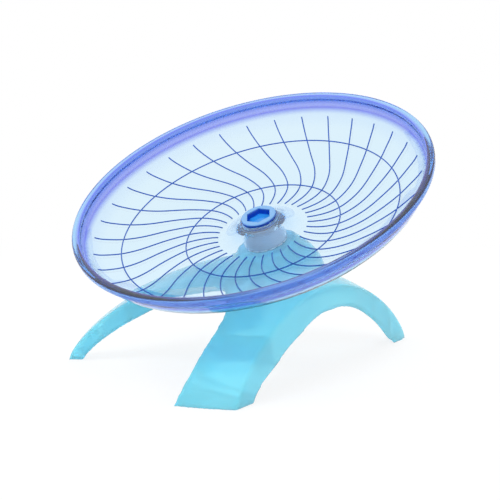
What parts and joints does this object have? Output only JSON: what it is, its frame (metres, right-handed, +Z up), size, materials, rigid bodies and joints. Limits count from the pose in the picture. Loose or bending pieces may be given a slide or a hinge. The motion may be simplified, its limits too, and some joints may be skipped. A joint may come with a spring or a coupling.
{
  "type": "flying saucer wheel",
  "caption": "Tilted clear dish with raised curved tread lines that spins on a ball-bearing post above an arched translucent stand, for a small pet to run in.",
  "frame": {"origin": "on the table, in the middle of the footprint of the whole wheel", "axes": "+Z up; the dish leans down toward -Y, where the low edge is; the flat arched side of the stand is toward +X"},
  "size_m": [0.18, 0.1771, 0.1291],
  "materials": {
    "turquoise_plastic": "glossy translucent turquoise moulding",
    "clear_blue_plastic": "glossy clear light blue moulding, deep blue where it is seen edge on",
    "blue_plastic": "glossy translucent blue",
    "white_plastic": "satin milky white",
    "bearing_steel": "polished bearing steel",
    "shield_steel": "plain pressed steel",
    "steel": "plain steel",
    "cage_plastic": "natural nylon"
  },
  "bodies": {
    "stand": {"stand_shell": "turquoise_plastic", "lower_washer": "steel", "inner_ring": "bearing_steel", "retaining_clip": "steel"},
    "saucer": {"saucer_dish": "clear_blue_plastic", "hub_cap": "blue_plastic", "bearing_sleeve": "white_plastic", "outer_ring": "bearing_steel", "upper_shield": "shield_steel", "lower_shield": "shield_steel"},
    "ball_set": {"ball_cage": "cage_plastic", "ball_1": "bearing_steel", "ball_2": "bearing_steel", "ball_3": "bearing_steel", "ball_4": "bearing_steel", "ball_5": "bearing_steel", "ball_6": "bearing_steel", "ball_7": "bearing_steel", "ball_8": "bearing_steel", "ball_9": "bearing_steel"}
  },
  "joints": [
    {"name": "saucer_spin", "type": "hinge", "parent": "stand", "child": "saucer", "pos_m": [0, 0.0025, 0.066], "axis": [0, -0.4586, 0.8886], "continuous": true},
    {"name": "ball_set_spin", "type": "hinge", "parent": "stand", "child": "ball_set", "pos_m": [0, 0.0025, 0.066], "axis": [0, -0.4586, 0.8886], "continuous": true}
  ],
  "couplings": [
    {"joint": "ball_set_spin", "follows": "saucer_spin", "ratio": 0.6}
  ]
}
